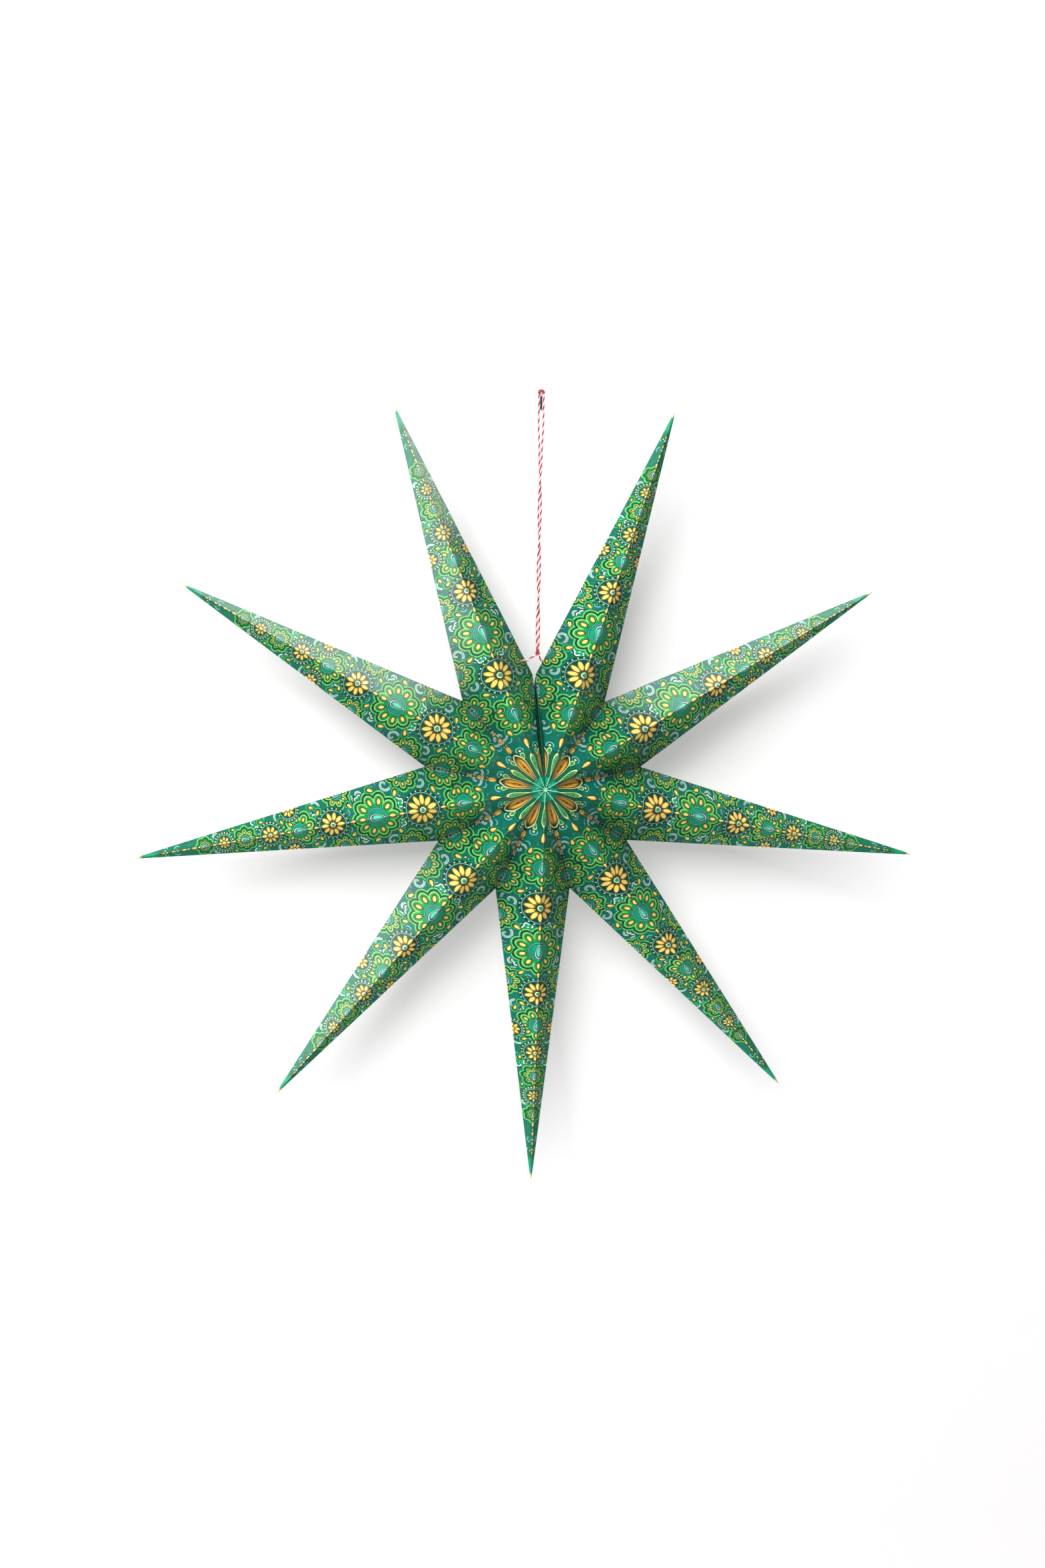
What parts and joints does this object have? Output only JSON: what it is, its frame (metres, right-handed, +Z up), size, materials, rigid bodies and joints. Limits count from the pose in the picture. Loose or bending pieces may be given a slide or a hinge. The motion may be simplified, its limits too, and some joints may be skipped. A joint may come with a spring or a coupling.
{
  "type": "folding paper star",
  "caption": "Folding paper star with long tapered points, glued in the valleys and tied open by the striped twine it hangs from.",
  "frame": {"origin": "inside top of the twine's loop, where the star hangs", "axes": "+Z up, -Y towards the viewer of the printed front; the star stands in the X-Z plane below the origin"},
  "size_m": [0.5902, 0.1305, 0.5954],
  "materials": {
    "printed_paper": "semi-gloss card, green ground with printed ornament",
    "plain_paper": "semi-gloss card, plain dark green",
    "striped_twine": "cotton twine, red and white strands laid together",
    "black_wire": "black, satin"
  },
  "bodies": {
    "point_1_front_right": {"point_1_front_right": "printed_paper", "hanging_twine": "striped_twine", "knot_and_left_tie": "striped_twine", "wire_clip": "black_wire"},
    "point_1_front_left": {"point_1_front_left": "printed_paper"},
    "point_1_back_right": {"point_1_back_right": "printed_paper"},
    "point_1_back_left": {"point_1_back_left": "printed_paper"},
    "point_2_front_right": {"point_2_front_right": "printed_paper"},
    "point_2_front_left": {"point_2_front_left": "printed_paper"},
    "point_2_back_right": {"point_2_back_right": "printed_paper"},
    "point_2_back_left": {"point_2_back_left": "printed_paper"},
    "point_3_front_right": {"point_3_front_right": "printed_paper"},
    "point_3_front_left": {"point_3_front_left": "printed_paper"},
    "point_3_back_right": {"point_3_back_right": "printed_paper"},
    "point_3_back_left": {"point_3_back_left": "printed_paper"},
    "point_4_front_right": {"point_4_front_right": "printed_paper"},
    "point_4_front_left": {"point_4_front_left": "printed_paper"},
    "point_4_back_right": {"point_4_back_right": "printed_paper"},
    "point_4_back_left": {"point_4_back_left": "printed_paper"},
    "point_5_front_right": {"point_5_front_right": "printed_paper"},
    "point_5_front_left": {"point_5_front_left": "printed_paper"},
    "point_5_back_right": {"point_5_back_right": "printed_paper"},
    "point_5_back_left": {"point_5_back_left": "printed_paper"},
    "point_6_front_right": {"point_6_front_right": "printed_paper"},
    "point_6_front_left": {"point_6_front_left": "printed_paper"},
    "point_6_back_right": {"point_6_back_right": "printed_paper"},
    "point_6_back_left": {"point_6_back_left": "printed_paper"},
    "point_7_front_right": {"point_7_front_right": "printed_paper"},
    "point_7_front_left": {"point_7_front_left": "printed_paper"},
    "point_7_back_right": {"point_7_back_right": "printed_paper"},
    "point_7_back_left": {"point_7_back_left": "printed_paper"},
    "point_8_front_right": {"point_8_front_right": "printed_paper"},
    "point_8_front_left": {"point_8_front_left": "printed_paper"},
    "point_8_back_right": {"point_8_back_right": "printed_paper"},
    "point_8_back_left": {"point_8_back_left": "printed_paper"},
    "point_9_front_right": {"point_9_front_right": "printed_paper"},
    "point_9_front_left": {"point_9_front_left": "printed_paper"},
    "point_9_back_right": {"point_9_back_right": "printed_paper"},
    "point_9_back_left": {"point_9_back_left": "printed_paper", "right_tie": "striped_twine"},
    "glue_tab_front_1": {"glue_tab_front_1": "plain_paper"},
    "glue_tab_front_2": {"glue_tab_front_2": "plain_paper"},
    "glue_tab_front_3": {"glue_tab_front_3": "plain_paper"},
    "glue_tab_front_4": {"glue_tab_front_4": "plain_paper"},
    "glue_tab_front_5": {"glue_tab_front_5": "plain_paper"},
    "glue_tab_front_6": {"glue_tab_front_6": "plain_paper"},
    "glue_tab_front_7": {"glue_tab_front_7": "plain_paper"},
    "glue_tab_front_8": {"glue_tab_front_8": "plain_paper"},
    "end_tab_front_1": {"end_tab_front_1": "plain_paper"},
    "end_tab_front_9": {"end_tab_front_9": "plain_paper"},
    "glue_tab_back_1": {"glue_tab_back_1": "plain_paper"},
    "glue_tab_back_2": {"glue_tab_back_2": "plain_paper"},
    "glue_tab_back_3": {"glue_tab_back_3": "plain_paper"},
    "glue_tab_back_4": {"glue_tab_back_4": "plain_paper"},
    "glue_tab_back_5": {"glue_tab_back_5": "plain_paper"},
    "glue_tab_back_6": {"glue_tab_back_6": "plain_paper"},
    "glue_tab_back_7": {"glue_tab_back_7": "plain_paper"},
    "glue_tab_back_8": {"glue_tab_back_8": "plain_paper"},
    "end_tab_back_1": {"end_tab_back_1": "plain_paper"},
    "end_tab_back_9": {"end_tab_back_9": "plain_paper"}
  },
  "joints": [
    {"name": "fold", "type": "hinge", "parent": "point_1_front_right", "child": "point_1_front_left", "pos_m": [-0.00214, -0.065, -0.29265], "axis": [0.3519, -0.2116, -0.9118], "range_deg": [0, 56]},
    {"name": "point_1_right_side_crease", "type": "hinge", "parent": "point_1_front_right", "child": "point_1_back_right", "pos_m": [-0.00383, 0, -0.21083], "axis": [0.4729, 0, -0.8811], "range_deg": [0, 54.89]},
    {"name": "point_1_left_side_crease", "type": "hinge", "parent": "point_1_front_left", "child": "point_1_back_left", "pos_m": [-0.05587, 0, -0.23091], "axis": [-0.2416, 0, 0.9704], "range_deg": [0, 54.89]},
    {"name": "valley_1_crease", "type": "hinge", "parent": "point_1_front_left", "child": "point_2_front_right", "pos_m": [-0.00246, -0.065, -0.29293], "axis": [-0.514, 0.6219, 0.5908], "range_deg": [0, 72.14]},
    {"name": "front_tab_1_crease", "type": "hinge", "parent": "point_1_front_left", "child": "glue_tab_front_1", "pos_m": [-0.00246, -0.065, -0.29293], "axis": [-0.514, 0.6219, 0.5908], "range_deg": [0, 36.07]},
    {"name": "back_tab_1_crease", "type": "hinge", "parent": "point_1_back_left", "child": "glue_tab_back_1", "pos_m": [-0.05618, 0, -0.23118], "axis": [0.514, 0.6219, -0.5908], "range_deg": [0, 36.07]},
    {"name": "point_2_ridge_crease", "type": "hinge", "parent": "point_2_front_right", "child": "point_2_front_left", "pos_m": [-0.00278, -0.065, -0.2932], "axis": [0.8544, -0.2116, -0.4746], "range_deg": [0, 56.01]},
    {"name": "point_2_right_side_crease", "type": "hinge", "parent": "point_2_front_right", "child": "point_2_back_right", "pos_m": [-0.0565, 0, -0.23146], "axis": [0.9277, 0, -0.3734], "range_deg": [0, 54.89]},
    {"name": "point_2_left_side_crease", "type": "hinge", "parent": "point_2_front_left", "child": "point_2_back_left", "pos_m": [-0.08358, 0, -0.28022], "axis": [-0.8073, 0, 0.5902], "range_deg": [0, 54.89]},
    {"name": "valley_2_crease", "type": "hinge", "parent": "point_2_front_left", "child": "point_3_front_right", "pos_m": [-0.00284, -0.065, -0.29362], "axis": [-0.7732, 0.6219, 0.1242], "range_deg": [0, 72.14]},
    {"name": "front_tab_2_crease", "type": "hinge", "parent": "point_2_front_left", "child": "glue_tab_front_2", "pos_m": [-0.00284, -0.065, -0.29362], "axis": [-0.7732, 0.6219, 0.1242], "range_deg": [0, 36.07]},
    {"name": "back_tab_2_crease", "type": "hinge", "parent": "point_2_back_left", "child": "glue_tab_back_2", "pos_m": [-0.08365, 0, -0.28064], "axis": [0.7732, 0.6219, -0.1242], "range_deg": [0, 36.07]},
    {"name": "point_3_ridge_crease", "type": "hinge", "parent": "point_3_front_right", "child": "point_3_front_left", "pos_m": [-0.00291, -0.065, -0.29403], "axis": [0.96, -0.2116, 0.1831], "range_deg": [0, 56.01]},
    {"name": "point_3_right_side_crease", "type": "hinge", "parent": "point_3_front_right", "child": "point_3_back_right", "pos_m": [-0.08372, 0, -0.28105], "axis": [0.9515, 0, 0.3077], "range_deg": [0, 54.89]},
    {"name": "point_3_left_side_crease", "type": "hinge", "parent": "point_3_front_left", "child": "point_3_back_left", "pos_m": [-0.07327, 0, -0.33584], "axis": [-0.9979, 0, -0.0641], "range_deg": [0, 54.89]},
    {"name": "valley_3_crease", "type": "hinge", "parent": "point_3_front_left", "child": "point_4_front_right", "pos_m": [-0.0027, -0.065, -0.29439], "axis": [-0.6732, 0.6219, -0.4], "range_deg": [0, 72.14]},
    {"name": "front_tab_3_crease", "type": "hinge", "parent": "point_3_front_left", "child": "glue_tab_front_3", "pos_m": [-0.0027, -0.065, -0.29439], "axis": [-0.6732, 0.6219, -0.4], "range_deg": [0, 36.07]},
    {"name": "back_tab_3_crease", "type": "hinge", "parent": "point_3_back_left", "child": "glue_tab_back_3", "pos_m": [-0.07305, 0, -0.3362], "axis": [0.6732, 0.6219, 0.4], "range_deg": [0, 36.07]},
    {"name": "point_4_ridge_crease", "type": "hinge", "parent": "point_4_front_right", "child": "point_4_front_left", "pos_m": [-0.00248, -0.065, -0.29475], "axis": [0.6198, -0.2116, 0.7557], "range_deg": [0, 56.01]},
    {"name": "point_4_right_side_crease", "type": "hinge", "parent": "point_4_front_right", "child": "point_4_back_right", "pos_m": [-0.07284, 0, -0.33656], "axis": [0.5334, 0, 0.8459], "range_deg": [0, 54.89]},
    {"name": "point_4_left_side_crease", "type": "hinge", "parent": "point_4_front_left", "child": "point_4_back_left", "pos_m": [-0.02971, 0, -0.37193], "axis": [-0.7251, 0, -0.6886], "range_deg": [0, 54.89]},
    {"name": "valley_4_crease", "type": "hinge", "parent": "point_4_front_left", "child": "point_5_front_right", "pos_m": [-0.00209, -0.065, -0.29489], "axis": [-0.2605, 0.6219, -0.7385], "range_deg": [0, 72.14]},
    {"name": "front_tab_4_crease", "type": "hinge", "parent": "point_4_front_left", "child": "glue_tab_front_4", "pos_m": [-0.00209, -0.065, -0.29489], "axis": [-0.2605, 0.6219, -0.7385], "range_deg": [0, 36.07]},
    {"name": "back_tab_4_crease", "type": "hinge", "parent": "point_4_back_left", "child": "glue_tab_back_4", "pos_m": [-0.02931, 0, -0.37207], "axis": [0.2605, 0.6219, 0.7385], "range_deg": [0, 36.07]},
    {"name": "point_5_ridge_crease", "type": "hinge", "parent": "point_5_front_right", "child": "point_5_front_left", "pos_m": [-0.00169, -0.065, -0.29503], "axis": [-0.0084, -0.2116, 0.9773], "range_deg": [0, 56.01]},
    {"name": "point_5_right_side_crease", "type": "hinge", "parent": "point_5_front_right", "child": "point_5_back_right", "pos_m": [-0.02892, 0, -0.37221], "axis": [-0.1325, 0, 0.9912], "range_deg": [0, 54.89]},
    {"name": "point_5_left_side_crease", "type": "hinge", "parent": "point_5_front_left", "child": "point_5_back_left", "pos_m": [0.02686, 0, -0.37173], "axis": [-0.1155, 0, -0.9933], "range_deg": [0, 54.89]},
    {"name": "valley_5_crease", "type": "hinge", "parent": "point_5_front_left", "child": "point_6_front_right", "pos_m": [-0.0013, -0.065, -0.29489], "axis": [0.2731, 0.6219, -0.7339], "range_deg": [0, 72.14]},
    {"name": "front_tab_5_crease", "type": "hinge", "parent": "point_5_front_left", "child": "glue_tab_front_5", "pos_m": [-0.0013, -0.065, -0.29489], "axis": [0.2731, 0.6219, -0.7339], "range_deg": [0, 36.07]},
    {"name": "back_tab_5_crease", "type": "hinge", "parent": "point_5_back_left", "child": "glue_tab_back_5", "pos_m": [0.02725, 0, -0.37159], "axis": [-0.2731, 0.6219, 0.7339], "range_deg": [0, 36.07]},
    {"name": "point_6_ridge_crease", "type": "hinge", "parent": "point_6_front_right", "child": "point_6_front_left", "pos_m": [-0.0009, -0.065, -0.29474], "axis": [-0.6326, -0.2116, 0.745], "range_deg": [0, 56.01]},
    {"name": "point_6_right_side_crease", "type": "hinge", "parent": "point_6_front_right", "child": "point_6_back_right", "pos_m": [0.02764, 0, -0.37144], "axis": [-0.7368, 0, 0.6761], "range_deg": [0, 54.89]},
    {"name": "point_6_left_side_crease", "type": "hinge", "parent": "point_6_front_left", "child": "point_6_back_left", "pos_m": [0.07016, 0, -0.33534], "axis": [0.5478, 0, -0.8366], "range_deg": [0, 54.89]},
    {"name": "valley_6_crease", "type": "hinge", "parent": "point_6_front_left", "child": "point_7_front_right", "pos_m": [-0.00069, -0.065, -0.29437], "axis": [0.6799, 0.6219, -0.3885], "range_deg": [0, 72.14]},
    {"name": "front_tab_6_crease", "type": "hinge", "parent": "point_6_front_left", "child": "glue_tab_front_6", "pos_m": [-0.00069, -0.065, -0.29437], "axis": [0.6799, 0.6219, -0.3885], "range_deg": [0, 36.07]},
    {"name": "back_tab_6_crease", "type": "hinge", "parent": "point_6_back_left", "child": "glue_tab_back_6", "pos_m": [0.07037, 0, -0.33497], "axis": [-0.6799, 0.6219, 0.3885], "range_deg": [0, 36.07]},
    {"name": "point_7_ridge_crease", "type": "hinge", "parent": "point_7_front_right", "child": "point_7_front_left", "pos_m": [-0.00049, -0.065, -0.29401], "axis": [-0.963, -0.2116, 0.1666], "range_deg": [0, 56.01]},
    {"name": "point_7_right_side_crease", "type": "hinge", "parent": "point_7_front_right", "child": "point_7_back_right", "pos_m": [0.07058, 0, -0.33461], "axis": [-0.9989, 0, 0.047], "range_deg": [0, 54.89]},
    {"name": "point_7_left_side_crease", "type": "hinge", "parent": "point_7_front_left", "child": "point_7_back_left", "pos_m": [0.08009, 0, -0.27965], "axis": [0.9566, 0, -0.2913], "range_deg": [0, 54.89]},
    {"name": "valley_7_crease", "type": "hinge", "parent": "point_7_front_left", "child": "point_8_front_right", "pos_m": [-0.00056, -0.065, -0.2936], "axis": [0.7709, 0.6219, 0.1374], "range_deg": [0, 72.14]},
    {"name": "front_tab_7_crease", "type": "hinge", "parent": "point_7_front_left", "child": "glue_tab_front_7", "pos_m": [-0.00056, -0.065, -0.2936], "axis": [0.7709, 0.6219, 0.1374], "range_deg": [0, 36.07]},
    {"name": "back_tab_7_crease", "type": "hinge", "parent": "point_7_back_left", "child": "glue_tab_back_7", "pos_m": [0.08001, 0, -0.27924], "axis": [-0.7709, 0.6219, -0.1374], "range_deg": [0, 36.07]},
    {"name": "point_8_ridge_crease", "type": "hinge", "parent": "point_8_front_right", "child": "point_8_front_left", "pos_m": [-0.00063, -0.065, -0.29318], "axis": [-0.8462, -0.2116, -0.4891], "range_deg": [0, 56.01]},
    {"name": "point_8_right_side_crease", "type": "hinge", "parent": "point_8_front_right", "child": "point_8_back_right", "pos_m": [0.07994, 0, -0.27882], "axis": [-0.797, 0, -0.6039], "range_deg": [0, 54.89]},
    {"name": "point_8_left_side_crease", "type": "hinge", "parent": "point_8_front_left", "child": "point_8_back_left", "pos_m": [0.05202, 0, -0.23053], "axis": [0.9211, 0, 0.3893], "range_deg": [0, 54.89]},
    {"name": "valley_8_crease", "type": "hinge", "parent": "point_8_front_left", "child": "point_9_front_right", "pos_m": [-0.00095, -0.065, -0.29291], "axis": [0.5038, 0.6219, 0.5995], "range_deg": [0, 72.14]},
    {"name": "front_tab_8_crease", "type": "hinge", "parent": "point_8_front_left", "child": "glue_tab_front_8", "pos_m": [-0.00095, -0.065, -0.29291], "axis": [0.5038, 0.6219, 0.5995], "range_deg": [0, 36.07]},
    {"name": "back_tab_8_crease", "type": "hinge", "parent": "point_8_back_left", "child": "glue_tab_back_8", "pos_m": [0.0517, 0, -0.23026], "axis": [-0.5038, 0.6219, -0.5995], "range_deg": [0, 36.07]},
    {"name": "point_9_ridge_crease", "type": "hinge", "parent": "point_9_front_right", "child": "point_9_front_left", "pos_m": [-0.00128, -0.065, -0.29264], "axis": [-0.3363, -0.2116, -0.9177], "range_deg": [0, 56.01]},
    {"name": "point_9_right_side_crease", "type": "hinge", "parent": "point_9_front_right", "child": "point_9_back_right", "pos_m": [0.05138, 0, -0.22999], "axis": [-0.225, 0, -0.9744], "range_deg": [0, 54.89]},
    {"name": "point_9_left_side_crease", "type": "hinge", "parent": "point_9_front_left", "child": "point_9_back_left", "pos_m": [-0.00099, 0, -0.2108], "axis": [0.4578, 0, 0.8891], "range_deg": [0, 54.89]},
    {"name": "end_tab_front_1_crease", "type": "hinge", "parent": "point_1_front_right", "child": "end_tab_front_1", "pos_m": [-0.00383, 0, -0.21083], "axis": [0.0161, -0.6219, -0.7829], "range_deg": [0, 36.07]},
    {"name": "end_tab_front_9_crease", "type": "hinge", "parent": "point_9_front_left", "child": "end_tab_front_9", "pos_m": [-0.00099, 0, -0.2108], "axis": [0.0027, 0.6219, 0.7831], "range_deg": [0, 36.07]},
    {"name": "end_tab_back_1_crease", "type": "hinge", "parent": "point_1_back_right", "child": "end_tab_back_1", "pos_m": [-0.00383, 0, -0.21083], "axis": [-0.0161, -0.6219, 0.7829], "range_deg": [0, 36.07]},
    {"name": "end_tab_back_9_crease", "type": "hinge", "parent": "point_9_back_left", "child": "end_tab_back_9", "pos_m": [-0.00099, 0, -0.2108], "axis": [-0.0027, 0.6219, -0.7831], "range_deg": [0, 36.07]}
  ],
  "couplings": [
    {"joint": "point_1_right_side_crease", "follows": "fold", "ratio": 0.98},
    {"joint": "point_1_left_side_crease", "follows": "fold", "ratio": 0.98},
    {"joint": "valley_1_crease", "follows": "fold", "ratio": 1.288},
    {"joint": "front_tab_1_crease", "follows": "fold", "ratio": 0.644},
    {"joint": "back_tab_1_crease", "follows": "fold", "ratio": 0.644},
    {"joint": "point_2_ridge_crease", "follows": "fold", "ratio": 1},
    {"joint": "point_2_right_side_crease", "follows": "fold", "ratio": 0.98},
    {"joint": "point_2_left_side_crease", "follows": "fold", "ratio": 0.98},
    {"joint": "valley_2_crease", "follows": "fold", "ratio": 1.288},
    {"joint": "front_tab_2_crease", "follows": "fold", "ratio": 0.644},
    {"joint": "back_tab_2_crease", "follows": "fold", "ratio": 0.644},
    {"joint": "point_3_ridge_crease", "follows": "fold", "ratio": 1},
    {"joint": "point_3_right_side_crease", "follows": "fold", "ratio": 0.98},
    {"joint": "point_3_left_side_crease", "follows": "fold", "ratio": 0.98},
    {"joint": "valley_3_crease", "follows": "fold", "ratio": 1.288},
    {"joint": "front_tab_3_crease", "follows": "fold", "ratio": 0.644},
    {"joint": "back_tab_3_crease", "follows": "fold", "ratio": 0.644},
    {"joint": "point_4_ridge_crease", "follows": "fold", "ratio": 1},
    {"joint": "point_4_right_side_crease", "follows": "fold", "ratio": 0.98},
    {"joint": "point_4_left_side_crease", "follows": "fold", "ratio": 0.98},
    {"joint": "valley_4_crease", "follows": "fold", "ratio": 1.288},
    {"joint": "front_tab_4_crease", "follows": "fold", "ratio": 0.644},
    {"joint": "back_tab_4_crease", "follows": "fold", "ratio": 0.644},
    {"joint": "point_5_ridge_crease", "follows": "fold", "ratio": 1},
    {"joint": "point_5_right_side_crease", "follows": "fold", "ratio": 0.98},
    {"joint": "point_5_left_side_crease", "follows": "fold", "ratio": 0.98},
    {"joint": "valley_5_crease", "follows": "fold", "ratio": 1.288},
    {"joint": "front_tab_5_crease", "follows": "fold", "ratio": 0.644},
    {"joint": "back_tab_5_crease", "follows": "fold", "ratio": 0.644},
    {"joint": "point_6_ridge_crease", "follows": "fold", "ratio": 1},
    {"joint": "point_6_right_side_crease", "follows": "fold", "ratio": 0.98},
    {"joint": "point_6_left_side_crease", "follows": "fold", "ratio": 0.98},
    {"joint": "valley_6_crease", "follows": "fold", "ratio": 1.288},
    {"joint": "front_tab_6_crease", "follows": "fold", "ratio": 0.644},
    {"joint": "back_tab_6_crease", "follows": "fold", "ratio": 0.644},
    {"joint": "point_7_ridge_crease", "follows": "fold", "ratio": 1},
    {"joint": "point_7_right_side_crease", "follows": "fold", "ratio": 0.98},
    {"joint": "point_7_left_side_crease", "follows": "fold", "ratio": 0.98},
    {"joint": "valley_7_crease", "follows": "fold", "ratio": 1.288},
    {"joint": "front_tab_7_crease", "follows": "fold", "ratio": 0.644},
    {"joint": "back_tab_7_crease", "follows": "fold", "ratio": 0.644},
    {"joint": "point_8_ridge_crease", "follows": "fold", "ratio": 1},
    {"joint": "point_8_right_side_crease", "follows": "fold", "ratio": 0.98},
    {"joint": "point_8_left_side_crease", "follows": "fold", "ratio": 0.98},
    {"joint": "valley_8_crease", "follows": "fold", "ratio": 1.288},
    {"joint": "front_tab_8_crease", "follows": "fold", "ratio": 0.644},
    {"joint": "back_tab_8_crease", "follows": "fold", "ratio": 0.644},
    {"joint": "point_9_ridge_crease", "follows": "fold", "ratio": 1},
    {"joint": "point_9_right_side_crease", "follows": "fold", "ratio": 0.98},
    {"joint": "point_9_left_side_crease", "follows": "fold", "ratio": 0.98},
    {"joint": "end_tab_front_1_crease", "follows": "fold", "ratio": 0.644},
    {"joint": "end_tab_front_9_crease", "follows": "fold", "ratio": 0.644},
    {"joint": "end_tab_back_1_crease", "follows": "fold", "ratio": 0.644},
    {"joint": "end_tab_back_9_crease", "follows": "fold", "ratio": 0.644}
  ]
}
